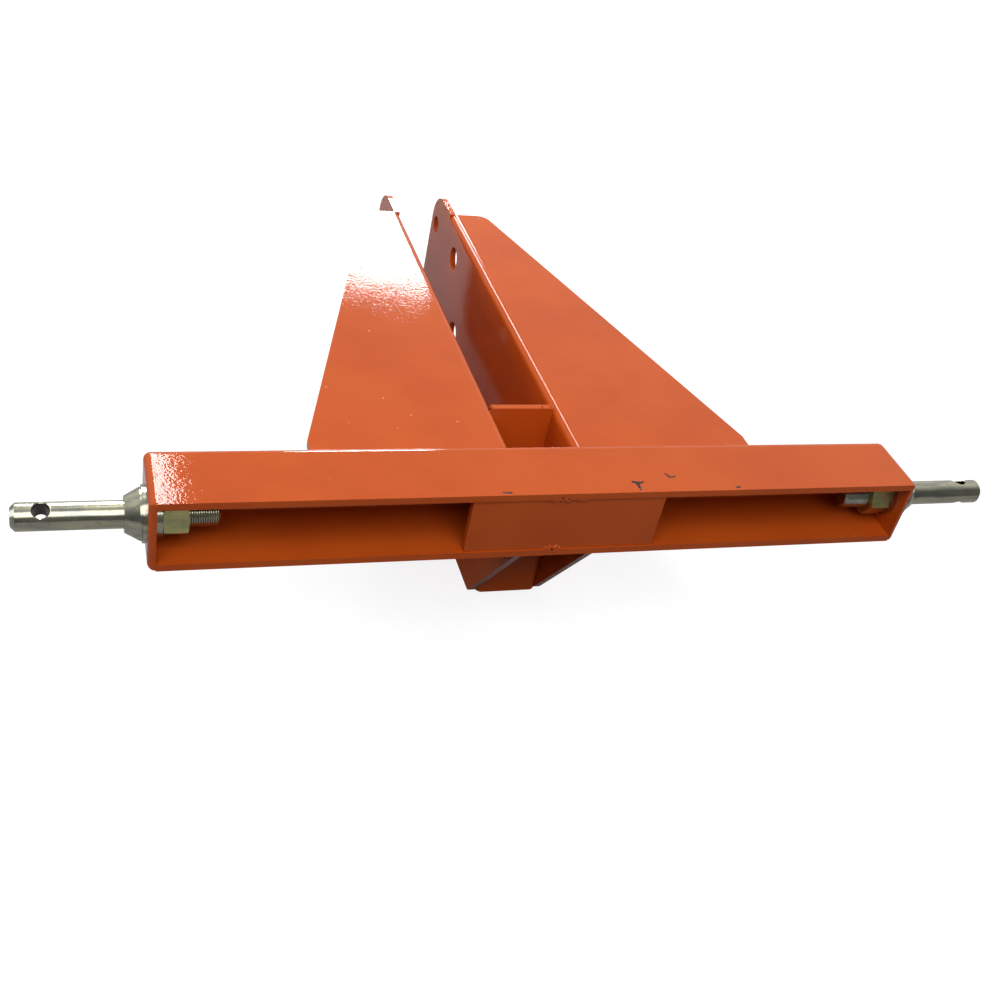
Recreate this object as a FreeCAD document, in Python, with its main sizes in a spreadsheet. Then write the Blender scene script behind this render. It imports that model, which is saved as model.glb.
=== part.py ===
import FreeCAD, Part
import Sketcher
import os

# Three-point receiver hitch, lying on its back as it is stored.
# X runs along the cross beam, Y goes up the mast, Z points to the tractor's side.
# Every piece is drawn from the middle of the beam's open underside and its front face.

document = FreeCAD.newDocument("ReceiverHitch")
size = document.addObject("Spreadsheet::Sheet", "size")

# Driving dimensions in millimetres: name, value, what it is.
driving_sizes = [
    ("beam_length", 685.8, "cross beam over its end plates"),
    ("beam_depth", 72.0, "from the open underside to the back of the web"),
    ("beam_height", 67.0, "over the two flanges"),
    ("beam_wall", 6.35, "bent channel plate"),
    ("beam_bend_radius", 9.5, "outside of the channel's two bends"),
    ("end_plate_thickness", 6.35, "caps on the beam's ends"),
    ("end_plate_corner", 2.0, "rounding at the open side"),
    ("end_plate_rim", 5.6, "rounding where the weld to the beam is ground off"),
    ("centre_plate_width", 174.0, "stiffener in the beam's mouth"),
    ("centre_plate_thickness", 6.35, "stiffener plate"),
    ("centre_plate_inset", 1.5, "its face behind the flange edges"),
    ("plate_fit", 0.4, "gap round a plate let in between two others"),
    ("mast_gap", 60.5, "between the two mast plates"),
    ("mast_wall", 6.35, "bent mast plate"),
    ("mast_bend_radius", 7.9, "outside of the mast plate's bend"),
    ("mast_top", 604.5, "top of the mast above the beam's underside"),
    ("mast_depth", 189.0, "from the front face to the mast's back edge"),
    ("wing_setback", 13.0, "front of the wings behind the beam's front face"),
    ("tip_radius", 32.0, "rounding of the two top corners"),
    ("tip_length", 66.5, "how far the side plates stand above the wings"),
    ("wing_foot_reach", 207.8, "half the mast's width at the foot"),
    ("wing_head_reach", 72.1, "half the mast's width at the wings' top"),
    ("wing_foot_rise", 25.0, "straight part of the outer edge at the foot"),
    ("wing_head_corner", 14.0, "rounding of the wing's top corner"),
    ("wing_foot_corner", 3.0, "rounding of the wing's foot corner"),
    ("brace_start", 3.0, "where the brace leaves the beam's back flange"),
    ("brace_reach", 90.0, "where the brace meets the back edge"),
    ("brace_corner", 9.0, "rounding between brace and back edge"),
    ("receiver_rise", 84.0, "underside of the receiver tube above the beam's underside"),
    ("receiver_width", 60.0, "square receiver tube, outside"),
    ("receiver_wall", 4.0, "receiver tube"),
    ("receiver_corner", 6.0, "outside of the tube's corners"),
    ("receiver_front", 67.5, "inner end of the tube behind the front face"),
    ("receiver_mouth", 186.0, "open end of the tube behind the front face"),
    ("cross_plate_thickness", 6.35, "plate between the mast plates, on the tube"),
    ("cross_plate_setback", 13.4, "front edge of the cross plate"),
    ("cross_plate_reach", 93.0, "back edge of the cross plate behind the front face"),
    ("hitch_pin_bore", 16.3, "for a five eighths inch hitch pin"),
    ("hitch_pin_inset", 63.5, "from the receiver's mouth to the pin"),
    ("pin_inset", 28.6, "lift pin axis above the beam's underside"),
    ("pin_drop", 32.0, "lift pin axis behind the front face"),
    ("link_rise", 471.0, "top-link hole above the lift pins"),
    ("link_bore", 25.8, "for a one inch top-link pin"),
    ("link_setback", 49.3, "top-link holes behind the front face"),
    ("upper_link_drop", 18.7, "upper top-link hole below the mast's top"),
    ("upper_link_bore", 19.5, "for a three quarter inch top-link pin"),
    ("lower_hole_rise", 427.0, "lower hole above the lift pins"),
    ("lower_hole_bore", 28.6, "lower hole through the mast"),
    ("lower_hole_setback", 123.5, "lower hole behind the front face"),
    ("pin_diameter", 22.2, "lift pin, category one"),
    ("pin_length", 82.0, "lift pin outside its collar"),
    ("pin_end_chamfer", 3.5, "bevel round the pin's end"),
    ("linchpin_bore", 12.7, "cross hole for the linchpin"),
    ("linchpin_chamfer", 1.2, "bevel of the cross hole"),
    ("linchpin_inset", 22.0, "from the pin's end to the cross hole"),
    ("collar_length", 13.0, "forged collar"),
    ("collar_flats", 36.0, "across the two wrench flats of the collar"),
    ("collar_nose", 29.0, "collar's face at the shank"),
    ("collar_root", 42.0, "collar's cone at the washer"),
    ("collar_rim", 1.6, "plain rim of the collar beside the washer"),
    ("stud_diameter", 22.2, "threaded end inside the beam"),
    ("stud_overhang", 24.5, "thread that stands out of the nut"),
    ("stud_end_chamfer", 2.0, "bevel of the thread's end"),
    ("stud_clearance", 0.8, "end plate hole over the stud"),
    ("washer_diameter", 46.0, "flat washer"),
    ("washer_thickness", 3.2, "flat washer"),
    ("lock_washer_diameter", 38.0, "split lock washer"),
    ("lock_washer_thickness", 5.6, "split lock washer"),
    ("lock_washer_split", 2.6, "width of the split"),
    ("nut_flats", 33.3, "across the hexagon nut's flats"),
    ("nut_thickness", 20.0, "hexagon nut"),
    ("nut_chamfer", 1.6, "turned corners of the nut"),
    ("thread_fit", 0.05, "radial play of nut and lock washer on the stud"),
    ("washer_fit", 0.4, "radial play of the flat washer on the stud"),
    ("weld_leg", 5.0, "fillet weld"),
    ("weld_end", 6.0, "plain length left at the end of a weld"),
    ("front_tack_length", 38.0, "weld from the centre plate to the front flange"),
    ("back_tack_length", 13.0, "weld from the centre plate to the back flange"),
    ("tack_place", -6.0, "middle of those welds beside the mast's middle"),
]
for row, (alias, number, meaning) in enumerate(driving_sizes, start=1):
    size.set("A%d" % row, meaning)
    size.set("B%d" % row, str(number))
    size.setAlias("B%d" % row, alias)
document.recompute()

# Turn of each lift pin about its axis, in degrees from its cross hole facing front.
left_pin_turn = 21.0
right_pin_turn = -27.0

# Turn of each nut about the same axis, in degrees from a corner facing the open side.
left_nut_turn = 16.0
right_nut_turn = 5.0

made_bodies = []


def value(expression):
    # the number that an expression on the sheet gives now
    found = size.evalExpression(expression)
    return float(getattr(found, "Value", found))


def new_body(label):
    # a piece of the hitch, set down so that the hitch stands on its back edges
    body = document.addObject("PartDesign::Body", label)
    body.Label = label
    body.setExpression("Placement.Base.y", "-size.mast_top / 2")
    body.setExpression("Placement.Base.z", "size.mast_depth")
    made_bodies.append(body)
    return body


def new_sketch(body, plane, name, offset=None):
    # a sketch on one of the body's own planes, moved along its normal by an expression
    sketch = body.newObject("Sketcher::SketchObject", body.Name + "_" + name)
    plane_feature = [found for found in body.Origin.OriginFeatures if found.Role == plane][0]
    sketch.AttachmentSupport = [(plane_feature, "")]
    sketch.MapMode = "FlatFace"
    if offset:
        sketch.setExpression("AttachmentOffset.Base.z", offset)
    return sketch


def fix_point(sketch, element, end, across, up):
    # ties one point of the sketch to two expressions
    for kind, expression in (("DistanceX", across), ("DistanceY", up)):
        number = sketch.addConstraint(
            Sketcher.Constraint(kind, -1, 1, element, end, value(expression)))
        sketch.setExpression("Constraints[%d]" % number, expression)


def add_outline(sketch, corners):
    # a closed outline of straight edges, each corner given by two expressions
    points = [FreeCAD.Vector(value(across), value(up), 0) for across, up in corners]
    first = sketch.GeometryCount
    count = len(points)
    for index in range(count):
        sketch.addGeometry(Part.LineSegment(points[index], points[(index + 1) % count]), False)
    for index in range(count):
        following = first + (index + 1) % count
        sketch.addConstraint(Sketcher.Constraint("Coincident", first + index, 2, following, 1))
    for index, (across, up) in enumerate(corners):
        fix_point(sketch, first + index, 1, across, up)


def add_circle(sketch, across, up, diameter):
    # a circle with its centre and diameter given by expressions
    centre = FreeCAD.Vector(value(across), value(up), 0)
    normal = FreeCAD.Vector(0, 0, 1)
    circle = sketch.addGeometry(Part.Circle(centre, normal, value(diameter) / 2), False)
    fix_point(sketch, circle, 3, across, up)
    number = sketch.addConstraint(Sketcher.Constraint("Diameter", circle, value(diameter)))
    sketch.setExpression("Constraints[%d]" % number, diameter)


def add_pad(body, sketch, length, backwards=False):
    # thickens a sketch along its plane's normal, or the other way
    document.recompute()
    pad = body.newObject("PartDesign::Pad", sketch.Name + "_pad")
    pad.Profile = sketch
    pad.setExpression("Length", length)
    pad.Reversed = backwards
    document.recompute()
    return pad


def add_cut(body, sketch, length, backwards=False):
    # a pocket, checked to take material away
    document.recompute()
    before = body.Shape.Volume
    pocket = body.newObject("PartDesign::Pocket", sketch.Name + "_cut")
    pocket.Profile = sketch
    pocket.setExpression("Length", length)
    pocket.Reversed = backwards
    document.recompute()
    if not pocket.Shape.Volume < before:
        raise ValueError(pocket.Name + " cuts nothing")
    return pocket


def corner_edges(body, direction, spots):
    # names of the straight edges along one axis that stand at the given spots
    axis = "XYZ".index(direction)
    others = [index for index in range(3) if index != axis]
    names = []
    for spot in spots:
        target = [value(expression) for expression in spot]
        for number, edge in enumerate(body.Tip.Shape.Edges, start=1):
            ends = [vertex.Point for vertex in edge.Vertexes]
            if len(ends) != 2 or ends[0].distanceToPoint(ends[1]) < 1e-6:
                continue
            near = all(abs(end[others[0]] - target[0]) < 1e-4 and
                       abs(end[others[1]] - target[1]) < 1e-4 for end in ends)
            if near:
                names.append("Edge%d" % number)
    if len(names) < len(spots):
        raise ValueError("%s has no edge at %s" % (body.Name, spots))
    return names


def round_corners(body, name, radius, direction, spots):
    # rounds the edges that run in one direction through the given spots
    base = (body.Tip, corner_edges(body, direction, spots))
    fillet = body.newObject("PartDesign::Fillet", body.Name + "_" + name)
    fillet.Base = base
    fillet.setExpression("Radius", radius)
    document.recompute()
    return fillet


def round_rim(body, outer_face):
    # rounds the outer face's edges on the three sides that are welded to the beam
    names = []
    for number, edge in enumerate(body.Tip.Shape.Edges, start=1):
        box = edge.BoundBox
        on_face = max(abs(box.XMin - outer_face), abs(box.XMax - outer_face)) < 1e-4
        if on_face and box.YMax > value("size.end_plate_corner") + 1e-4:
            names.append("Edge%d" % number)
    base = (body.Tip, names)
    rim = body.newObject("PartDesign::Fillet", body.Name + "_rim")
    rim.Base = base
    rim.setExpression("Radius", "size.end_plate_rim")
    document.recompute()


# Cross beam: a channel with its mouth on the underside

def make_cross_beam():
    body = new_body("cross_beam")
    start = "-size.beam_length / 2 + size.end_plate_thickness"
    section = new_sketch(body, "YZ_Plane", "section", start)
    inner = "size.beam_depth - size.beam_wall"
    back = "-size.beam_height"
    add_outline(section, [
        ("0", "0"),
        ("size.beam_depth", "0"),
        ("size.beam_depth", back),
        ("0", back),
        ("0", back + " + size.beam_wall"),
        (inner, back + " + size.beam_wall"),
        (inner, "-size.beam_wall"),
        ("0", "-size.beam_wall"),
    ])
    add_pad(body, section, "size.beam_length - 2 * size.end_plate_thickness")
    round_corners(body, "outer_bends", "size.beam_bend_radius", "X",
                  [("size.beam_depth", "0"), ("size.beam_depth", back)])
    round_corners(body, "inner_bends", "size.beam_bend_radius - size.beam_wall", "X",
                  [(inner, "-size.beam_wall"), (inner, back + " + size.beam_wall")])


def make_end_plate(side, label):
    body = new_body(label)
    outer = "%d * size.beam_length / 2" % side
    face = new_sketch(body, "YZ_Plane", "face", outer)
    back = "-size.beam_height"
    add_outline(face, [("0", "0"), ("size.beam_depth", "0"), ("size.beam_depth", back), ("0", back)])
    add_pad(body, face, "size.end_plate_thickness", backwards=(side > 0))
    round_corners(body, "bend_corners", "size.beam_bend_radius", "X",
                  [("size.beam_depth", "0"), ("size.beam_depth", back)])
    round_corners(body, "mouth_corners", "size.end_plate_corner", "X", [("0", "0"), ("0", back)])
    round_rim(body, value(outer))
    hole = new_sketch(body, "YZ_Plane", "hole", outer)
    add_circle(hole, "size.pin_inset", "-size.pin_drop", "size.stud_diameter + size.stud_clearance")
    add_cut(body, hole, "size.end_plate_thickness", backwards=(side < 0))


def make_centre_plate():
    body = new_body("centre_plate")
    face = new_sketch(body, "XZ_Plane", "face", "-size.centre_plate_inset")
    near_top = "-size.beam_wall - size.plate_fit"
    near_back = "-size.beam_height + size.beam_wall + size.plate_fit"
    left = "-size.centre_plate_width / 2"
    right = "size.centre_plate_width / 2"
    add_outline(face, [(left, near_top), (right, near_top), (right, near_back), (left, near_back)])
    add_pad(body, face, "size.centre_plate_thickness", backwards=True)


# Where the hitch pin goes through the receiver
receiver_axis = "size.receiver_rise + size.receiver_width / 2"
hitch_pin_place = "-size.receiver_mouth + size.hitch_pin_inset"


# Mast: two bent plates, each with a wing to the front and a deep side plate

def make_mast_plate(side, label):
    body = new_body(label)
    inner_face = "%d * size.mast_gap / 2" % side
    outer_face = "%d * (size.mast_gap / 2 + size.mast_wall)" % side
    wing_top = "size.mast_top - size.tip_length"
    bend_end = "%d * (size.mast_gap / 2 + size.mast_bend_radius)" % side
    leg_end = bend_end + " + %d * size.mast_wall" % side
    front = "-size.wing_setback"
    bend_back = front + " - size.mast_bend_radius"
    leg_back = bend_back + " - size.mast_wall"
    back = "-size.mast_depth"
    beam_back = "-size.beam_height"
    leftward = side < 0

    bend = new_sketch(body, "XZ_Plane", "bend", "-size.beam_depth")
    add_outline(bend, [
        (inner_face, front),
        (leg_end, front),
        (leg_end, front + " - size.mast_wall"),
        (outer_face, front + " - size.mast_wall"),
        (outer_face, leg_back),
        (inner_face, leg_back),
    ])
    add_pad(body, bend, wing_top + " - size.beam_depth", backwards=True)
    round_corners(body, "bend_outside", "size.mast_bend_radius", "Y", [(inner_face, front)])
    round_corners(body, "bend_inside", "size.mast_bend_radius - size.mast_wall", "Y",
                  [(outer_face, front + " - size.mast_wall")])

    profile = new_sketch(body, "YZ_Plane", "side_profile", inner_face)
    add_outline(profile, [
        ("size.beam_depth", bend_back),
        ("size.beam_depth", beam_back),
        ("size.brace_start", beam_back),
        ("size.brace_reach", back),
        ("size.mast_top", back),
        ("size.mast_top", front),
        (wing_top, front),
        (wing_top, bend_back),
    ])
    add_pad(body, profile, "size.mast_wall", backwards=leftward)

    wing = new_sketch(body, "XY_Plane", "wing", front)
    foot = "%d * size.wing_foot_reach" % side
    head = "%d * size.wing_head_reach" % side
    add_outline(wing, [
        (bend_end, "size.beam_depth"),
        (foot, "size.beam_depth"),
        (foot, "size.beam_depth + size.wing_foot_rise"),
        (head, wing_top),
        (bend_end, wing_top),
    ])
    add_pad(body, wing, "size.mast_wall", backwards=True)

    round_corners(body, "wing_head", "size.wing_head_corner", "Z", [(head, wing_top)])
    round_corners(body, "wing_foot", "size.wing_foot_corner", "Z", [(foot, "size.beam_depth")])
    round_corners(body, "top", "size.tip_radius", "X",
                  [("size.mast_top", front), ("size.mast_top", back)])
    round_corners(body, "brace_end", "size.brace_corner", "X", [("size.brace_reach", back)])

    holes = new_sketch(body, "YZ_Plane", "holes", inner_face)
    add_circle(holes, "size.pin_inset + size.link_rise", "-size.link_setback", "size.link_bore")
    add_circle(holes, "size.mast_top - size.upper_link_drop", "-size.link_setback",
               "size.upper_link_bore")
    add_circle(holes, "size.pin_inset + size.lower_hole_rise", "-size.lower_hole_setback",
               "size.lower_hole_bore")
    add_circle(holes, receiver_axis, hitch_pin_place, "size.hitch_pin_bore")
    add_cut(body, holes, "size.mast_wall", backwards=not leftward)


# Receiver: a square tube between the mast plates, under a cross plate

def make_receiver_tube():
    body = new_body("receiver_tube")
    section = new_sketch(body, "XY_Plane", "section", "-size.receiver_front")
    half = "size.receiver_width / 2"
    hollow = "(size.receiver_width / 2 - size.receiver_wall)"
    low = "size.receiver_rise"
    high = "size.receiver_rise + size.receiver_width"
    inner_low = low + " + size.receiver_wall"
    inner_high = high + " - size.receiver_wall"
    add_outline(section, [("-" + half, low), (half, low), (half, high), ("-" + half, high)])
    add_outline(section, [
        ("-" + hollow, inner_low), ("-" + hollow, inner_high),
        (hollow, inner_high), (hollow, inner_low)])
    add_pad(body, section, "size.receiver_mouth - size.receiver_front", backwards=True)
    round_corners(body, "outer_corners", "size.receiver_corner", "Z",
                  [("-" + half, low), (half, low), (half, high), ("-" + half, high)])
    round_corners(body, "inner_corners", "size.receiver_corner - size.receiver_wall", "Z",
                  [("-" + hollow, inner_low), (hollow, inner_low),
                   (hollow, inner_high), ("-" + hollow, inner_high)])
    hole = new_sketch(body, "YZ_Plane", "hitch_pin_hole", "-size.receiver_width / 2")
    add_circle(hole, receiver_axis, hitch_pin_place, "size.hitch_pin_bore")
    add_cut(body, hole, "size.receiver_width", backwards=True)


def make_cross_plate():
    body = new_body("cross_plate")
    section = new_sketch(body, "YZ_Plane", "section", "-size.mast_gap / 2")
    near = "size.receiver_rise + size.receiver_width"
    far = near + " + size.cross_plate_thickness"
    front = "-size.cross_plate_setback"
    back = "-size.cross_plate_reach"
    add_outline(section, [(near, front), (far, front), (far, back), (near, back)])
    add_pad(body, section, "size.mast_gap")


# Lift pins with their washers and nuts, drawn about the pin's own axis

def end_face(side, outward):
    # a place along the pin, measured outwards from the end plate's outer face
    return "%d * (size.beam_length / 2 + %s)" % (side, outward)


def seat_on_pin_axis(body, turn):
    body.Placement = FreeCAD.Placement(
        FreeCAD.Vector(), FreeCAD.Rotation(FreeCAD.Vector(1, 0, 0), turn))
    body.setExpression("Placement.Base.y", "-size.mast_top / 2 + size.pin_inset")
    body.setExpression("Placement.Base.z", "size.mast_depth - size.pin_drop")


def add_ring(body, side, start, outside, inside, length):
    # a ring about the pin's axis that reaches inwards from its start
    ring = new_sketch(body, "YZ_Plane", "ring", end_face(side, start))
    add_circle(ring, "0", "0", outside)
    add_circle(ring, "0", "0", inside)
    add_pad(body, ring, length, backwards=(side > 0))


def make_lift_pin(side, label, turn):
    body = new_body(label)
    seat_on_pin_axis(body, turn)
    stud = "size.stud_diameter / 2"
    shank = "size.pin_diameter / 2"
    stud_end = ("-(size.end_plate_thickness + size.lock_washer_thickness"
                " + size.nut_thickness + size.stud_overhang)")
    collar = "size.washer_thickness"
    nose = collar + " + size.collar_length"
    tip = nose + " + size.pin_length"
    turned = new_sketch(body, "XY_Plane", "turned_profile")
    add_outline(turned, [
        (end_face(side, stud_end), "0"),
        (end_face(side, stud_end), stud + " - size.stud_end_chamfer"),
        (end_face(side, stud_end + " + size.stud_end_chamfer"), stud),
        (end_face(side, collar), stud),
        (end_face(side, collar), "size.collar_root / 2"),
        (end_face(side, collar + " + size.collar_rim"), "size.collar_root / 2"),
        (end_face(side, nose), "size.collar_nose / 2"),
        (end_face(side, nose), shank),
        (end_face(side, tip + " - size.pin_end_chamfer"), shank),
        (end_face(side, tip), shank + " - size.pin_end_chamfer"),
        (end_face(side, tip), "0"),
    ])
    document.recompute()
    pin = body.newObject("PartDesign::Revolution", label + "_turned")
    pin.Profile = turned
    pin.ReferenceAxis = (turned, ["H_Axis"])
    pin.Angle = 360
    document.recompute()

    flats = new_sketch(body, "YZ_Plane", "wrench_flats", end_face(side, nose))
    reach = "size.collar_root"
    near = "size.collar_flats / 2"
    add_outline(flats, [
        (near, "-" + reach), (reach, "-" + reach), (reach, reach), (near, reach)])
    add_outline(flats, [
        ("-" + near, "-" + reach), ("-" + near, reach), ("-" + reach, reach),
        ("-" + reach, "-" + reach)])
    add_cut(body, flats, "size.collar_length", backwards=(side < 0))

    cross_hole = new_sketch(body, "XY_Plane", "cross_hole", "size.pin_diameter")
    add_circle(cross_hole, end_face(side, tip + " - size.linchpin_inset"), "0",
               "size.linchpin_bore")
    add_cut(body, cross_hole, "2 * size.pin_diameter")
    bevel_cross_hole(body)


def bevel_cross_hole(body):
    # breaks the two edges where the cross hole comes out of the pin
    bore_radius = value("size.linchpin_bore / 2")
    rims = set()
    for number, edge in enumerate(body.Tip.Shape.Edges, start=1):
        box = edge.BoundBox
        if abs(box.YLength / 2 - bore_radius) < bore_radius / 20 and box.ZLength > 0:
            if abs(box.XLength / 2 - bore_radius) < bore_radius / 20:
                rims.add("Edge%d" % number)
    if not rims:
        raise ValueError(body.Name + " has no rims at the cross hole")
    base = (body.Tip, sorted(rims))
    bevel = body.newObject("PartDesign::Chamfer", body.Name + "_hole_bevel")
    bevel.Base = base
    bevel.setExpression("Size", "size.linchpin_chamfer")
    document.recompute()


def make_flat_washer(side, label):
    body = new_body(label)
    seat_on_pin_axis(body, 0)
    add_ring(body, side, "size.washer_thickness", "size.washer_diameter",
             "size.stud_diameter + 2 * size.washer_fit", "size.washer_thickness")


def make_lock_washer(side, label):
    body = new_body(label)
    seat_on_pin_axis(body, 0)
    start = "-size.end_plate_thickness"
    add_ring(body, side, start, "size.lock_washer_diameter",
             "size.stud_diameter + 2 * size.thread_fit", "size.lock_washer_thickness")
    split = new_sketch(body, "YZ_Plane", "split", end_face(side, start))
    half = "size.lock_washer_split / 2"
    add_outline(split, [
        ("-" + half, "0"), (half, "0"),
        (half, "size.lock_washer_diameter"), ("-" + half, "size.lock_washer_diameter")])
    add_cut(body, split, "size.lock_washer_thickness", backwards=(side < 0))


def make_hex_nut(side, label, turn):
    body = new_body(label)
    seat_on_pin_axis(body, turn)
    near = "-(size.end_plate_thickness + size.lock_washer_thickness)"
    far = near + " - size.nut_thickness"
    hexagon = new_sketch(body, "YZ_Plane", "hexagon", end_face(side, near))
    corner = "size.nut_flats / sqrt(3)"
    half_corner = "size.nut_flats / sqrt(3) / 2"
    half_flats = "size.nut_flats / 2"
    add_outline(hexagon, [
        (corner, "0"), (half_corner, half_flats), ("-" + half_corner, half_flats),
        ("-" + corner, "0"), ("-" + half_corner, "-" + half_flats),
        (half_corner, "-" + half_flats)])
    add_circle(hexagon, "0", "0", "size.stud_diameter + 2 * size.thread_fit")
    add_pad(body, hexagon, "size.nut_thickness", backwards=(side > 0))

    turned = new_sketch(body, "XY_Plane", "turned_corners")
    outside = corner + " + size.nut_chamfer"
    touch = half_flats + " - size.nut_chamfer / 4"
    for face, inward in ((near, " - size.nut_chamfer"), (far, " + size.nut_chamfer")):
        add_outline(turned, [
            (end_face(side, face), touch),
            (end_face(side, face), outside),
            (end_face(side, face + inward), outside)])
    document.recompute()
    groove = body.newObject("PartDesign::Groove", label + "_turned")
    groove.Profile = turned
    groove.ReferenceAxis = (turned, ["H_Axis"])
    groove.Angle = 360
    document.recompute()


# Welds: three-cornered beads in the corners where the plates meet

def make_bead(label, plane, start, length, corner, leg_across, leg_up):
    body = new_body(label)
    section = new_sketch(body, plane, "bead", start)
    across, up = corner
    add_outline(section, [
        (across, up),
        ("%s + %s" % (across, leg_across), up),
        (across, "%s + %s" % (up, leg_up))])
    add_pad(body, section, length, backwards=(plane == "XZ_Plane"))


def make_end_weld(side, label):
    # the weld inside the channel that joins the end plate to the web
    plate_face = "%d * (size.beam_length / 2 - size.end_plate_thickness)" % side
    inward = "-(%d * size.weld_leg)" % side
    first = "-(size.beam_height - size.beam_wall - size.weld_end)"
    length = "size.beam_height - 2 * (size.beam_wall + size.weld_end)"
    make_bead(label, "XY_Plane", first, length,
              (plate_face, "size.beam_depth - size.beam_wall"), inward, "-size.weld_leg")


def make_mast_welds(side, name):
    leg = "size.weld_leg"
    outward = "%d * size.weld_leg" % side
    inward = "-(%d * size.weld_leg)" % side
    outer_face = "%d * (size.mast_gap / 2 + size.mast_wall)" % side
    inner_face = "%d * size.mast_gap / 2" % side
    bend_back = "size.wing_setback + size.mast_bend_radius + size.weld_end"
    web_low = "size.beam_height - size.beam_bend_radius"
    make_bead(name + "_mast_web_weld", "XY_Plane", "-(%s)" % web_low,
              "%s - (%s)" % (web_low, bend_back), (outer_face, "size.beam_depth"), outward, leg)
    brace_first = "size.brace_start + size.weld_end"
    make_bead(name + "_brace_weld", "XZ_Plane", "-(%s)" % brace_first,
              "size.beam_depth - size.beam_bend_radius - (%s)" % brace_first,
              (outer_face, "-size.beam_height"), outward, "-" + leg)
    plate_end = "size.cross_plate_reach - size.weld_end"
    plate_top = "size.receiver_rise + size.receiver_width + size.cross_plate_thickness"
    make_bead(name + "_cross_plate_weld", "XY_Plane", "-(%s)" % plate_end,
              "%s - (%s)" % (plate_end, bend_back), (inner_face, plate_top), inward, leg)
    tube_first = "size.cross_plate_reach + size.weld_end"
    tube_end = "size.receiver_mouth - size.weld_end"
    onto_tube = "-(%d * (size.receiver_corner + size.weld_leg / 2))" % side
    make_bead(name + "_receiver_tube_weld", "XY_Plane", "-(%s)" % tube_end,
              "%s - (%s)" % (tube_end, tube_first),
              (inner_face, "size.receiver_rise + size.receiver_width"), onto_tube, leg)
    foot_first = "size.mast_gap / 2 + size.mast_bend_radius + size.weld_end"
    foot_length = "size.wing_foot_reach - size.weld_end - (%s)" % foot_first
    start = foot_first if side > 0 else "-(size.wing_foot_reach - size.weld_end)"
    make_bead(name + "_wing_foot_weld", "YZ_Plane", start, foot_length,
              ("size.beam_depth", "-(size.wing_setback + size.mast_wall)"), leg, "-" + leg)


def make_tack(label, length, flange_face, direction):
    start = "size.tack_place - %s / 2" % length
    make_bead(label, "YZ_Plane", start, length, ("size.centre_plate_inset", flange_face),
              "-size.centre_plate_inset", "%d * size.weld_leg" % direction)


make_cross_beam()
make_end_plate(-1, "left_end_plate")
make_end_plate(1, "right_end_plate")
make_centre_plate()
make_mast_plate(-1, "left_mast_plate")
make_mast_plate(1, "right_mast_plate")
make_receiver_tube()
make_cross_plate()
make_lift_pin(-1, "left_lift_pin", left_pin_turn)
make_lift_pin(1, "right_lift_pin", right_pin_turn)
for side, name, nut_turn in ((-1, "left", left_nut_turn), (1, "right", right_nut_turn)):
    make_flat_washer(side, name + "_flat_washer")
    make_lock_washer(side, name + "_lock_washer")
    make_hex_nut(side, name + "_hex_nut", nut_turn)
    make_end_weld(side, name + "_end_weld")
    make_mast_welds(side, name)
make_tack("front_tack_weld", "size.front_tack_length", "-size.beam_wall", -1)
make_tack("back_tack_weld", "size.back_tack_length", "-size.beam_height + size.beam_wall", 1)

document.recompute()
for item in document.Objects:
    if "Invalid" in item.State or "Error" in item.State:
        raise ValueError(item.Label + " is in error")
for body in made_bodies:
    if body.Shape.isNull() or not body.Shape.isValid() or len(body.Shape.Solids) != 1:
        raise ValueError(body.Label + " is not one sound solid")

os.makedirs("parts", exist_ok=True)
for body in made_bodies:
    body.Shape.exportStep("parts/%s.step" % body.Label)
print(len(made_bodies), "pieces written")
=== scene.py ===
import bpy
import bmesh
import math
from mathutils import Matrix, Vector, noise


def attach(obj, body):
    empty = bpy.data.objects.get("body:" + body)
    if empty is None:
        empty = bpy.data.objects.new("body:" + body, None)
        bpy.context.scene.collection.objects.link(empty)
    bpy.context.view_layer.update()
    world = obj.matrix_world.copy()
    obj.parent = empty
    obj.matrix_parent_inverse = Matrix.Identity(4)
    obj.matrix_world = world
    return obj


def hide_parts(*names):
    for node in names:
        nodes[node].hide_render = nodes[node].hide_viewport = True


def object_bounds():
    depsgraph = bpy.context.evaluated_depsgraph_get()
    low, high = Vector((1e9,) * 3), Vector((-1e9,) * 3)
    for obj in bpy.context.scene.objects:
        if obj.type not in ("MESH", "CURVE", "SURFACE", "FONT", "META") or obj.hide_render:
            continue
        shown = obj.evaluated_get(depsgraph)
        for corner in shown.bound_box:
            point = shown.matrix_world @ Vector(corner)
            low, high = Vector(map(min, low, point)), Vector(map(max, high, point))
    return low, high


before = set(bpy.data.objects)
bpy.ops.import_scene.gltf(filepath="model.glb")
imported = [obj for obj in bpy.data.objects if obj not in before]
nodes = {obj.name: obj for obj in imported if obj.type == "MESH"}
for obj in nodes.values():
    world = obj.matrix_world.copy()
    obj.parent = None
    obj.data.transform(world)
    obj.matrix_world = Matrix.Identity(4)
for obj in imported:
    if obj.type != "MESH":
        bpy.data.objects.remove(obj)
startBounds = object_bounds()
print("frame loaded", len(nodes), "pieces")


def linear(code):
    # sRGB hex to the linear colour the shaders use
    parts = [int(code[i:i + 2], 16) / 255 for i in (1, 3, 5)]
    return [v / 12.92 if v <= 0.04045 else ((v + 0.055) / 1.055) ** 2.4 for v in parts] + [1.0]


def addNode(tree, kind, inputs=None, **switches):
    # an input is a value, or another node's output, which is then linked to it
    node = tree.nodes.new(kind)
    for key, value in switches.items():
        setattr(node, key, value)
    for key, value in (inputs or {}).items():
        if isinstance(value, bpy.types.NodeSocket):
            tree.links.new(value, node.inputs[key])
        else:
            node.inputs[key].default_value = value
    return node


def addNoise(tree, coords, perMetre, detail):
    return addNode(tree, "ShaderNodeTexNoise",
                   {"Scale": perMetre, "Detail": detail, "Vector": coords}).outputs["Fac"]


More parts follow.
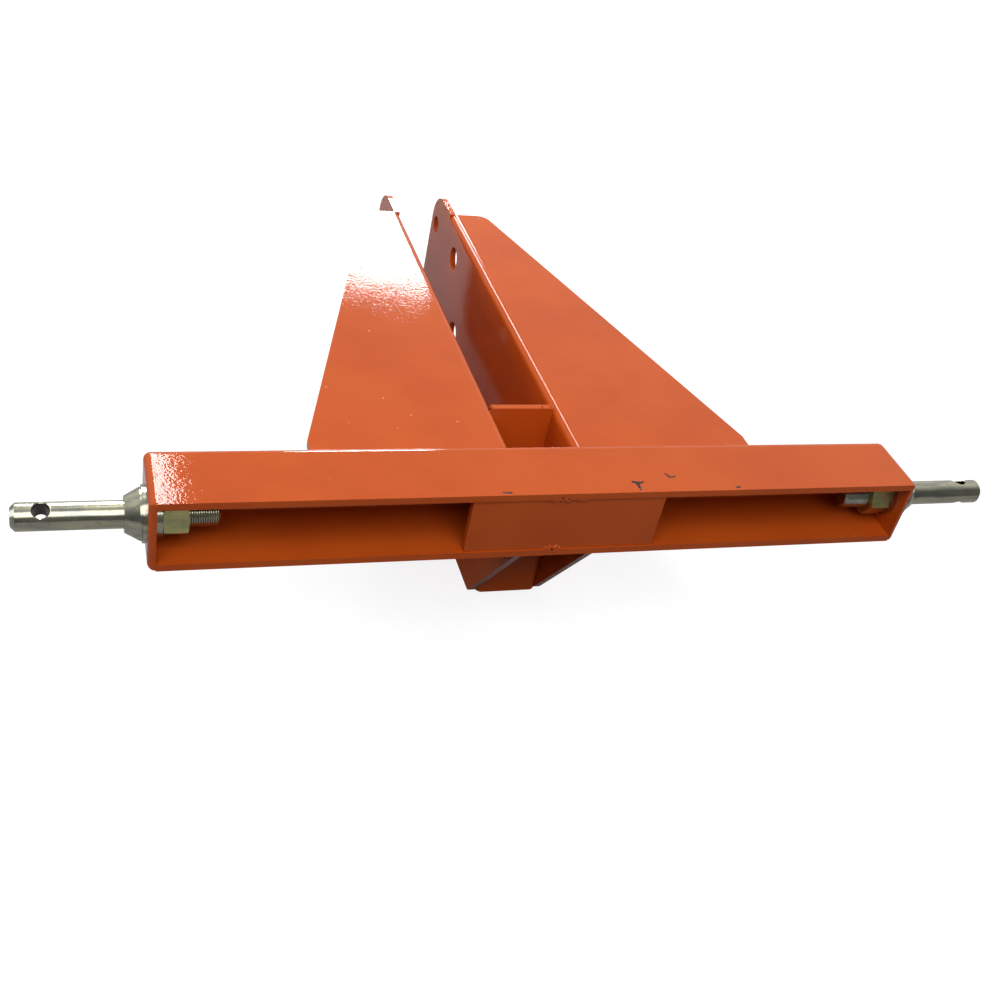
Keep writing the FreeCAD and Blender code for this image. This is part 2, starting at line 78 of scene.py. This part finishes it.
def remap(tree, value, span, first=0.0, last=1.0):
    # values across the span run from first to last
    return addNode(tree, "ShaderNodeMapRange",
                   {"From Min": span[0], "From Max": span[1], "To Min": first, "To Max": last,
                    "Value": value}).outputs["Result"]


def reckon(tree, operation, *terms):
    return addNode(tree, "ShaderNodeMath", dict(enumerate(terms)), operation=operation).outputs[0]


def reckonVector(tree, operation, *terms):
    return addNode(tree, "ShaderNodeVectorMath", dict(enumerate(terms)), operation=operation)


def mixColours(tree, share, first, second):
    # sockets 6, 7 and 2 are a Mix node's two colours and its mixed colour
    colours = [linear(each) if isinstance(each, str) else each for each in (first, second)]
    return addNode(tree, "ShaderNodeMix", {0: share, 6: colours[0], 7: colours[1]},
                   data_type="RGBA").outputs[2]


def mixShaders(tree, share, first, second):
    return addNode(tree, "ShaderNodeMixShader", {0: share, 1: first, 2: second}).outputs[0]


def newMaterial(name):
    material = bpy.data.materials.new(name)
    material.use_nodes = True
    tree = material.node_tree
    tree.nodes.clear()
    output = tree.nodes.new("ShaderNodeOutputMaterial")
    return material, tree, output


# Orange enamel sprayed over the welded frame: a wet glossy coat, so lamps mirror in it, with
# orange peel that breaks their edges up, thinner darker clouds, and chips down to brown steel.
# Heights are in millimetres, other lengths in metres.
paint = {
    "colour": "#CA571A",
    "thinColour": "#B34214",
    "cloudAcross": 0.07,
    "cloudSpan": (0.4, 0.75),
    "cloudAmount": 0.4,
    "chipColour": "#3A211A",
    "chipSpan": (1.75, 1.95),
    "chipDepth": 0.15,
    "chipRoughness": 0.55,
    "raggedPerMetre": 700.0,
    "raggedAmount": 1.6,
    "roughness": 0.035,
    "specular": 0.16,
    "peelAcross": 0.0026,
    "peelHeight": 0.075,
    "nibAcross": 0.009,
    "nibReach": 0.09,
    "nibHeight": 0.13,
    "nibShare": 0.35,
    "waveAcross": 0.03,
    "waveHeight": 0.06,
    "millimetre": 0.001,
}
# paint knocked off the beam's front, the tack welds and the cross plate's ends: middle and
# reach, a few spots to each chip
chipSpots = [
    ((0.0580, -0.2879, 0.189), 0.0014), ((0.0601, -0.2886, 0.189), 0.0017),
    ((0.0623, -0.2892, 0.189), 0.0019), ((0.0647, -0.2893, 0.189), 0.0017),
    ((0.0674, -0.2882, 0.189), 0.0012), ((0.0615, -0.2925, 0.189), 0.0018),
    ((0.0616, -0.2958, 0.189), 0.0015), ((0.0613, -0.2988, 0.189), 0.0011),
    ((0.0931, -0.2777, 0.189), 0.0011), ((0.0942, -0.2800, 0.189), 0.0013),
    ((0.0955, -0.2821, 0.189), 0.0014), ((0.0980, -0.2820, 0.189), 0.0012),
    ((0.1004, -0.2813, 0.189), 0.0010), ((0.1562, -0.2983, 0.189), 0.0015),
    ((0.1538, -0.2990, 0.189), 0.0010), ((-0.0625, -0.2981, 0.189), 0.0010),
    ((-0.0605, -0.2987, 0.189), 0.0013), ((-0.0579, -0.2988, 0.189), 0.0014),
    ((-0.0558, -0.2989, 0.189), 0.0011), ((-0.0100, -0.3022, 0.1848), 0.0009),
    ((-0.0045, -0.3022, 0.1836), 0.0007), ((-0.0076, -0.3022, 0.1283), 0.0010),
    ((-0.0330, -0.1570, 0.1748), 0.0010), ((0.0200, -0.1558, 0.1757), 0.0008),
]


def chipNearness(tree, coords):
    # distance to the nearest chip spot, as a share of that spot's reach
    nearest = None
    for middle, reach in chipSpots:
        away = reckonVector(tree, "DISTANCE", coords, middle).outputs["Value"]
        share = reckon(tree, "DIVIDE", away, reach)
        nearest = share if nearest is None else reckon(tree, "MINIMUM", nearest, share)
    return nearest


def makePaint():
    material, tree, output = newMaterial("orangeEnamelSprayed")
    coords = addNode(tree, "ShaderNodeTexCoord").outputs["Object"]
    cloud = addNoise(tree, coords, 1 / paint["cloudAcross"], 3.0)
    thin = remap(tree, cloud, paint["cloudSpan"], 0.0, paint["cloudAmount"])
    coat = mixColours(tree, thin, paint["colour"], paint["thinColour"])

    ragged = addNoise(tree, coords, paint["raggedPerMetre"], 3.0)
    torn = reckon(tree, "MULTIPLY_ADD", ragged, paint["raggedAmount"], chipNearness(tree, coords))
    chip = remap(tree, torn, paint["chipSpan"], 1.0, 0.0)
    colour = mixColours(tree, chip, coat, paint["chipColour"])
    rough = remap(tree, chip, (0.0, 1.0), paint["roughness"], paint["chipRoughness"])

    # fine peel, sparse dust nibs, slow waviness of the plate
    peel = addNoise(tree, coords, 1 / paint["peelAcross"], 1.0)
    wave = addNoise(tree, coords, 1 / paint["waveAcross"], 1.0)
    nib = addNode(tree, "ShaderNodeTexVoronoi", {"Scale": 1 / paint["nibAcross"], "Vector": coords})
    dome = remap(tree, nib.outputs["Distance"], (0.0, paint["nibReach"]), paint["nibHeight"], 0.0)
    chosen = reckon(tree, "LESS_THAN", nib.outputs["Color"], paint["nibShare"])
    height = reckon(tree, "MULTIPLY", dome, chosen)
    for pattern, rise in ((wave, paint["waveHeight"]), (peel, paint["peelHeight"]),
                          (chip, -paint["chipDepth"])):
        height = reckon(tree, "MULTIPLY_ADD", pattern, rise, height)
    relief = addNode(tree, "ShaderNodeBump",
                     {"Strength": 1.0, "Distance": paint["millimetre"], "Height": height})
    shader = addNode(tree, "ShaderNodeBsdfPrincipled",
                     {"Specular IOR Level": paint["specular"], "Base Color": colour,
                      "Roughness": rough, "Normal": relief.outputs["Normal"]})
    tree.links.new(shader.outputs["BSDF"], output.inputs["Surface"])
    return material


# Electroplated steel: zinc over turned and forged steel, a dull silver with cloudy yellow and
# blue-grey film, and the drilled cross holes painted dark: painted shade inside the bore, where the
# steel is also duller.
plating = {
    "zincPlatedSteel": {"colour": "#A9A68F", "tint": "#8F9187", "stain": "#75694A",
                        "roughness": 0.19},
    "yellowChromatedSteel": {"colour": "#BDB47C", "tint": "#9FA078", "stain": "#96764F",
                             "roughness": 0.3},
}
film = {
    "drawnOut": (0.22, 1.0, 1.0),
    "cloudsPerMetre": 170.0,
    "cloudSpan": (0.42, 0.6),
    "stainsPerMetre": 220.0,
    "stainSpan": (0.56, 0.8),
    "stainAmount": 0.45,
    "grainPerMetre": 900.0,
    "grainHeight": 0.00002,
    "smoother": 0.06,
    "rougher": 0.08,
    "holeShadeColour": "#2B2620",
}
# the line both lift pins lie on, and the linchpin hole drilled across each, turned about it
pinLine = {
    "y": -0.27365,
    "z": 0.157,
    "holeOut": 0.4191,
    "holeRadius": 0.0068,
    "leftTurn": 21,
    "rightTurn": -27,
}


def holeShadeShare(tree, coords):
    # 1 inside a linchpin hole, whose bore is painted dark as shade, 0 elsewhere
    inHole = None
    for side, turn in ((-1, pinLine["leftTurn"]), (1, pinLine["rightTurn"])):
        angle = math.radians(turn)
        middle = (side * pinLine["holeOut"], pinLine["y"], pinLine["z"])
        axis = (0.0, -math.sin(angle), math.cos(angle))
        arm = reckonVector(tree, "SUBTRACT", coords, middle).outputs["Vector"]
        across = reckonVector(tree, "CROSS_PRODUCT", arm, axis).outputs["Vector"]
        far = reckonVector(tree, "LENGTH", across).outputs["Value"]
        inside = reckon(tree, "LESS_THAN", far, pinLine["holeRadius"])
        inHole = inside if inHole is None else reckon(tree, "MAXIMUM", inHole, inside)
    return inHole


def makePlating(name):
    look = plating[name]
    material, tree, output = newMaterial(name)
    coords = addNode(tree, "ShaderNodeTexCoord").outputs["Object"]
    # the film's clouds are drawn out along the bar, as the turning marks under it are
    drawnOut = addNode(tree, "ShaderNodeMapping",
                       {"Scale": film["drawnOut"], "Vector": coords}).outputs["Vector"]
    cloud = addNoise(tree, drawnOut, film["cloudsPerMetre"], 4.0)
    fade = remap(tree, cloud, film["cloudSpan"])
    coat = mixColours(tree, fade, look["colour"], look["tint"])
    spot = addNoise(tree, coords, film["stainsPerMetre"], 3.0)
    spotFade = remap(tree, spot, film["stainSpan"], 0.0, film["stainAmount"])
    stained = mixColours(tree, spotFade, coat, look["stain"])
    # the bore of each linchpin hole takes a dark colour: painted shade over duller steel
    colour = mixColours(tree, holeShadeShare(tree, coords), stained, film["holeShadeColour"])
    grain = addNoise(tree, coords, film["grainPerMetre"], 3.0)
    rough = remap(tree, grain, (0.0, 1.0), look["roughness"] - film["smoother"],
                  look["roughness"] + film["rougher"])
    relief = addNode(tree, "ShaderNodeBump",
                     {"Strength": 1.0, "Distance": film["grainHeight"], "Height": grain})
    shader = addNode(tree, "ShaderNodeBsdfPrincipled",
                     {"Metallic": 1.0, "Base Color": colour, "Roughness": rough,
                      "Normal": relief.outputs["Normal"]})
    tree.links.new(shader.outputs["BSDF"], output.inputs["Surface"])
    return material


enamel = makePaint()
zinc = makePlating("zincPlatedSteel")
yellowZinc = makePlating("yellowChromatedSteel")
plated = {"lift_pin": zinc, "flat_washer": zinc, "lock_washer": zinc, "hex_nut": yellowZinc}
for name, node in nodes.items():
    finish = enamel
    for ending, material in plated.items():
        if name.endswith(ending):
            finish = material
    node.data.materials.clear()
    node.data.materials.append(finish)
print("materials on")


# Softened edges on the plates and turned parts, as sheared, bent and plated steel has
edgeWidths = {
    "mast_plate": 0.0009, "cross_beam": 0.0009, "end_plate": 0.001, "centre_plate": 0.0008,
    "cross_plate": 0.0008, "receiver_tube": 0.0004, "lift_pin": 0.0003, "flat_washer": 0.0004,
    "lock_washer": 0.0004, "hex_nut": 0.0003,
}
edgeSharpness = {"segments": 2, "degrees": 40}
for name, node in nodes.items():
    for ending, width in edgeWidths.items():
        if name.endswith(ending):
            soft = node.modifiers.new("softEdges", "BEVEL")
            soft.width = width
            soft.segments = edgeSharpness["segments"]
            soft.limit_method = "ANGLE"
            soft.angle_limit = math.radians(edgeSharpness["degrees"])
            soft.harden_normals = True
print("edges softened")


def finishPiece(shape, name, material, replaced=None, smooth=True):
    # turns a made shape into a piece of the hitch that rides with the frame
    mesh = bpy.data.meshes.new(name)
    for face in shape.faces:
        face.smooth = smooth
    shape.to_mesh(mesh)
    shape.free()
    mesh.materials.append(material)
    piece = bpy.data.objects.new(name, mesh)
    bpy.context.scene.collection.objects.link(piece)
    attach(piece, "root")
    if replaced:
        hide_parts(replaced)


# Weld beads under the paint: hand-laid, with the round ripples the pool leaves as it steps on
weld = {
    "leg": 0.005,
    "radiusShare": 0.62,
    "proudShare": 0.12,
    "sides": 14,
    "rippleStep": 0.0024,
    "rippleHeight": 0.09,
    "rippleLean": 0.55,
    "ringsPerRipple": 4,
    "fewestRings": 6,
    "unevenness": 0.22,
    "unevenPerMetre": 170,
    "unevenLean": 1.3,
    "seedPerMetre": 90,
    "endBluntness": 0.06,
    "alongLimit": 0.9,
}
# each left bead: from, to, and the way its face looks out of the corner; right ones mirror it
sideBeads = {
    "end_weld": ((-0.33655, -0.2366, 0.13435), (-0.33655, -0.2366, 0.17665), (1, -1, 0)),
    "mast_web_weld": ((-0.0366, -0.23025, 0.1315), (-0.0366, -0.23025, 0.1621), (-1, 1, 0)),
    "brace_weld": ((-0.0366, -0.29325, 0.122), (-0.0366, -0.23975, 0.122), (-1, 0, -1)),
    "cross_plate_weld": ((-0.03025, -0.1519, 0.102), (-0.03025, -0.1519, 0.1621), (1, 1, 0)),
    "receiver_tube_weld": ((-0.02825, -0.1574, 0.009), (-0.02825, -0.1574, 0.090), (1, 1, 0)),
    "wing_foot_weld": ((-0.2018, -0.23025, 0.16965), (-0.04415, -0.23025, 0.16965), (0, 1, -1)),
}


def layBead(name, first, last, outward):
    first, last = Vector(first), Vector(last)
    along = last - first
    outward = Vector(outward).normalized()
    leg = weld["leg"]
    shape = bmesh.new()
    bmesh.ops.create_cone(shape, cap_ends=True, segments=weld["sides"],
                          radius1=leg * weld["radiusShare"], radius2=leg * weld["radiusShare"],
                          depth=along.length)
    runs = [edge for edge in shape.edges
            if abs((edge.verts[0].co - edge.verts[1].co).normalized().z) > weld["alongLimit"]]
    rings = round(along.length / weld["rippleStep"] * weld["ringsPerRipple"])
    bmesh.ops.subdivide_edges(shape, edges=runs, cuts=max(weld["fewestRings"], rings))
    turn = along.to_track_quat("Z", "Y")
    facing = turn.inverted() @ outward
    seed = first * weld["seedPerMetre"]
    for vert in shape.verts:
        flat = Vector((vert.co.x, vert.co.y, 0))
        lean = flat.normalized().dot(facing) if flat.length > 0 else 0
        # ripples curve back from the middle of the bead to its toes
        stepped = vert.co.z / weld["rippleStep"] + lean * weld["rippleLean"]
        ripple = weld["rippleHeight"] * math.cos(2 * math.pi * stepped)
        spot = Vector((vert.co.z * weld["unevenPerMetre"], lean * weld["unevenLean"], 0))
        rough = weld["unevenness"] * noise.noise(spot + seed)
        room = along.length / 2 - abs(vert.co.z)
        endRound = min(1.0, math.sqrt(max(room, 0.0) / leg + weld["endBluntness"]))
        flat *= (1 + ripple + rough) * endRound
        vert.co = Vector((flat.x, flat.y, vert.co.z))
    middle = (first + last) / 2 + outward * leg * weld["proudShare"]
    bmesh.ops.transform(shape, matrix=Matrix.Translation(middle) @ turn.to_matrix().to_4x4(),
                        verts=shape.verts)
    finishPiece(shape, name + "_bead", enamel, name)


for ending, bead in sideBeads.items():
    for side, mirror in (("left_", 1), ("right_", -1)):
        layBead(side + ending, *[(v[0] * mirror, v[1], v[2]) for v in bead])
print("weld beads laid")


def addDrop(shape, middle, radius, fineness, dent, dentsPerMetre):
    # a ball of weld metal with an uneven skin
    middle = Vector(middle)
    made = bmesh.ops.create_icosphere(shape, subdivisions=fineness, radius=radius,
                                      matrix=Matrix.Translation(middle))
    for vert in made["verts"]:
        vert.co += (vert.co - middle) * dent * noise.noise(vert.co * dentsPerMetre)
    return made["verts"]


# Two tack welds on the centre plate: lumps of weld metal pushed into the gap at the flange
tacks = {
    "front_tack_weld": {"from": -0.0235, "to": 0.0135, "z": 0.1822, "lump": 0.0052, "count": 9},
    "back_tack_weld": {"from": -0.0130, "to": -0.0010, "z": 0.1288, "lump": 0.0046, "count": 4},
}
lumps = {
    "y": -0.2993,
    "smallest": 0.75,
    "growth": 0.5,
    "endShare": 0.55,
    "skin": 0.0012,
    "swayY": 0.0012,
    "swayZ": 0.0016,
    "swayStep": 1.7,
    "swaySeed": (40, 3.1),
    "sizeStep": 2.3,
    "sizeSeed": (5.2, 10),
    "dent": 0.5,
    "dentsPerMetre": 420,
    "fineness": 3,
    "insideBox": 0.0001,
}


def layTack(name, tack):
    shape = bmesh.new()
    last = tack["count"] - 1
    swayScale, swayPlace = lumps["swaySeed"]
    sizePlace, sizeScale = lumps["sizeSeed"]
    for index in range(tack["count"]):
        sway = noise.noise(Vector((index * lumps["swayStep"], tack["z"] * swayScale, swayPlace)))
        swell = noise.noise(Vector((index * lumps["sizeStep"], sizePlace, tack["z"] * sizeScale)))
        size = tack["lump"] * (lumps["smallest"] + lumps["growth"] * abs(swell))
        size *= lumps["endShare"] if index in (0, last) else 1.0
        spot = (tack["from"] + (tack["to"] - tack["from"]) * index / last,
                lumps["y"] + sway * lumps["swayY"], tack["z"] + sway * lumps["swayZ"])
        drop = addDrop(shape, spot, size / 2 + lumps["skin"], lumps["fineness"], lumps["dent"],
                       lumps["dentsPerMetre"])
        for vert in drop:
            vert.co.y = max(vert.co.y, startBounds[0][1] + lumps["insideBox"])
    finishPiece(shape, name + "_lumps", enamel, name)


for name, tack in tacks.items():
    layTack(name, tack)
print("tacks laid")


# Drops of weld spatter at the ends of the cross plate, painted over: middle and radius
spatter = {
    "drops": [
        ((-0.0330, -0.1570, 0.1743), 0.0014), ((-0.0318, -0.1592, 0.1727), 0.0011),
        ((-0.0296, -0.1550, 0.1755), 0.0013), ((0.0200, -0.1555, 0.1756), 0.0012),
        ((0.0286, -0.1545, 0.1756), 0.0014),
    ],
    "fineness": 2,
    "dent": 0.6,
    "dentsPerMetre": 700,
}


def laySpatter():
    shape = bmesh.new()
    for middle, radius in spatter["drops"]:
        addDrop(shape, middle, radius, spatter["fineness"], spatter["dent"],
                spatter["dentsPerMetre"])
    finishPiece(shape, "cross_plate_spatter", enamel)


laySpatter()
print("spatter laid")


# Threads on the studs: a fine 7/8 inch thread has 14 turns to the inch, 1.81 mm apart
thread = {
    "pitch": 0.00181,
    "depth": 0.0007,
    "coreRadius": 0.01112,
    "sunk": 0.0002,
    "halfTooth": 0.44,
    "nutEnd": 0.3105,
    "freeEnd": 0.2885,
    "stepsPerTurn": 28,
}


def cutThread(name, side):
    # a three-cornered tooth is spun about the pin line from the nut to the stud's free end
    axisPoint = Vector((0, pinLine["y"], pinLine["z"]))
    turns = (thread["nutEnd"] - thread["freeEnd"]) / thread["pitch"]
    steps = round(turns * thread["stepsPerTurn"])
    half = thread["pitch"] * thread["halfTooth"]
    foot = thread["coreRadius"] - thread["sunk"]
    tooth = [(0.0, 0.0), (half, thread["depth"]), (half * 2, 0.0)]
    shape = bmesh.new()
    rim = [shape.verts.new(axisPoint + Vector((side * thread["nutEnd"] - side * x, 0, foot + rise)))
           for x, rise in tooth]
    for index, corner in enumerate(rim):
        shape.edges.new((corner, rim[(index + 1) % len(rim)]))
    bmesh.ops.spin(shape, geom=shape.verts[:] + shape.edges[:], cent=axisPoint, axis=(1, 0, 0),
                   dvec=(-side * thread["pitch"] / thread["stepsPerTurn"], 0, 0),
                   angle=2 * math.pi * steps / thread["stepsPerTurn"], steps=steps,
                   use_merge=False)
    ends = [edge for edge in shape.edges if edge.is_boundary]
    bmesh.ops.holes_fill(shape, edges=ends, sides=3)
    bmesh.ops.recalc_face_normals(shape, faces=shape.faces)
    finishPiece(shape, name, zinc, smooth=False)


cutThread("left_stud_thread", -1)
cutThread("right_stud_thread", 1)
print("threads cut")


# Floor, light and camera. The camera sees a white floor with the hitch's shadow, mirrors a pale
# one, and the light that bounces off it a dark one, which keeps the shaded faces deep.
studio = {
    "floorReach": 30,
    "floorSeen": "#8C8C8C",
    "floorGlow": 0.84,
    "floorFade": (0.9, 2.2),
    "floorMirrored": "#B8B8B8",
    "floorWork": "#3E3B39",
    "white": (1, 1, 1, 1),
    "skyColour": "#EEF0F4",
    "skyStrength": 0.11,
    "roomStrength": 0.18,
    "roomFade": (-0.5, 0.15),
}
lamps = {
    "frontSoftbox": {"at": (-0.5, -1.5, 2.0), "aim": (0, 0, 0.1), "size": (2.4, 1.5), "watts": 40},
    "overhead": {"at": (0.3, 0.4, 2.3), "aim": (0, 0, 0.1), "size": (1.2, 0.8), "watts": 7},
    "leftFill": {"at": (-2.2, 0.3, 0.7), "aim": (0, 0, 0.1), "size": (1.2, 1.0), "watts": 9},
    "rightFill": {"at": (2.2, 0.3, 0.7), "aim": (0, 0, 0.1), "size": (1.2, 1.0), "watts": 9},
    "rearWindow": {"at": (0.31, 1.7, 0.85), "aim": (-0.05, 0.2, 0.17), "size": (0.36, 0.37),
                   "watts": 14},
    "rearStrip": {"at": (-0.28, 1.7, 1.45), "aim": (-0.1, 0, 0.17), "size": (0.26, 0.95),
                  "watts": 22},
}
# where the photograph was taken from, and the way its right and lower edges look
view = {
    "at": (-0.40466, -1.05504, 0.79604),
    "right": (0.94372, -0.27241, 0.18757),
    "down": (-0.02468, -0.62354, -0.7814),
    "lens": 45.26,
    "sensor": 36,
    "clip": (0.01, 100),
}


def rayKinds(tree):
    # rays straight from the camera, and those by way of mirrors and glass
    path = addNode(tree, "ShaderNodeLightPath").outputs
    return path["Is Camera Ray"], reckon(tree, "MAXIMUM", path["Is Glossy Ray"],
                                         path["Is Transmission Ray"])


def addFloor():
    mesh = bpy.data.meshes.new("floor")
    shape = bmesh.new()
    bmesh.ops.create_grid(shape, x_segments=1, y_segments=1, size=studio["floorReach"])
    shape.to_mesh(mesh)
    shape.free()
    floor = bpy.data.objects.new("floor", mesh)
    bpy.context.scene.collection.objects.link(floor)
    material, tree, output = newMaterial("whiteStudioFloor")
    seen, inMirrors, work = [
        addNode(tree, "ShaderNodeBsdfDiffuse", {"Color": linear(studio[tone])}).outputs[0]
        for tone in ("floorSeen", "floorMirrored", "floorWork")]
    # away from the hitch the floor fades to the white of the surround, so no horizon shows
    coords = addNode(tree, "ShaderNodeTexCoord").outputs["Object"]
    far = reckonVector(tree, "LENGTH", coords).outputs["Value"]
    fade = remap(tree, far, studio["floorFade"], studio["floorGlow"])
    glow = addNode(tree, "ShaderNodeEmission", {"Color": studio["white"], "Strength": fade})
    white = addNode(tree, "ShaderNodeAddShader", {0: seen, 1: glow.outputs[0]}).outputs[0]
    straight, mirrored = rayKinds(tree)
    bounced = mixShaders(tree, mirrored, work, inMirrors)
    tree.links.new(mixShaders(tree, straight, bounced, white), output.inputs["Surface"])
    mesh.materials.append(material)


def addLight(name, lamp):
    data = bpy.data.lights.new(name, "AREA")
    data.shape = "RECTANGLE"
    data.size, data.size_y = lamp["size"]
    data.energy = lamp["watts"]
    light = bpy.data.objects.new(name, data)
    light.location = lamp["at"]
    light.rotation_mode = "QUATERNION"
    light.rotation_quaternion = (Vector(lamp["aim"]) - Vector(lamp["at"])).to_track_quat("-Z", "Y")
    bpy.context.scene.collection.objects.link(light)


def addSurround():
    # white behind the hitch, and for mirrors a dimmer room on the photographer's side
    world = bpy.data.worlds.new("studioSurround")
    bpy.context.scene.world = world
    world.use_nodes = True
    tree = world.node_tree
    tree.nodes.clear()
    coords = addNode(tree, "ShaderNodeTexCoord").outputs["Object"]
    way = addNode(tree, "ShaderNodeSeparateXYZ", {0: coords}).outputs["Y"]
    room = remap(tree, way, studio["roomFade"], studio["roomStrength"])
    straight, mirrored = rayKinds(tree)
    plain = addNode(tree, "ShaderNodeBackground",
                    {"Color": studio["white"], "Strength": reckon(tree, "MAXIMUM", straight, room)})
    lit = addNode(tree, "ShaderNodeBackground",
                  {"Color": linear(studio["skyColour"]), "Strength": studio["skyStrength"]})
    surround = mixShaders(tree, reckon(tree, "MAXIMUM", straight, mirrored), lit.outputs[0],
                          plain.outputs[0])
    addNode(tree, "ShaderNodeOutputWorld", {"Surface": surround})


def addCamera():
    right, down = Vector(view["right"]), Vector(view["down"])
    forward = right.cross(down).normalized()
    down = forward.cross(right).normalized()
    data = bpy.data.cameras.new("photoCamera")
    data.sensor_width = view["sensor"]
    data.lens = view["lens"]
    data.clip_start, data.clip_end = view["clip"]
    camera = bpy.data.objects.new("photoCamera", data)
    turn = Matrix((right.normalized(), -down, -forward)).transposed().to_4x4()
    camera.matrix_world = Matrix.Translation(view["at"]) @ turn
    bpy.context.scene.collection.objects.link(camera)
    bpy.context.scene.camera = camera


addFloor()
for name, lamp in lamps.items():
    addLight(name, lamp)
addSurround()
bpy.context.scene.view_settings.view_transform = "Standard"
addCamera()
print("stage set")
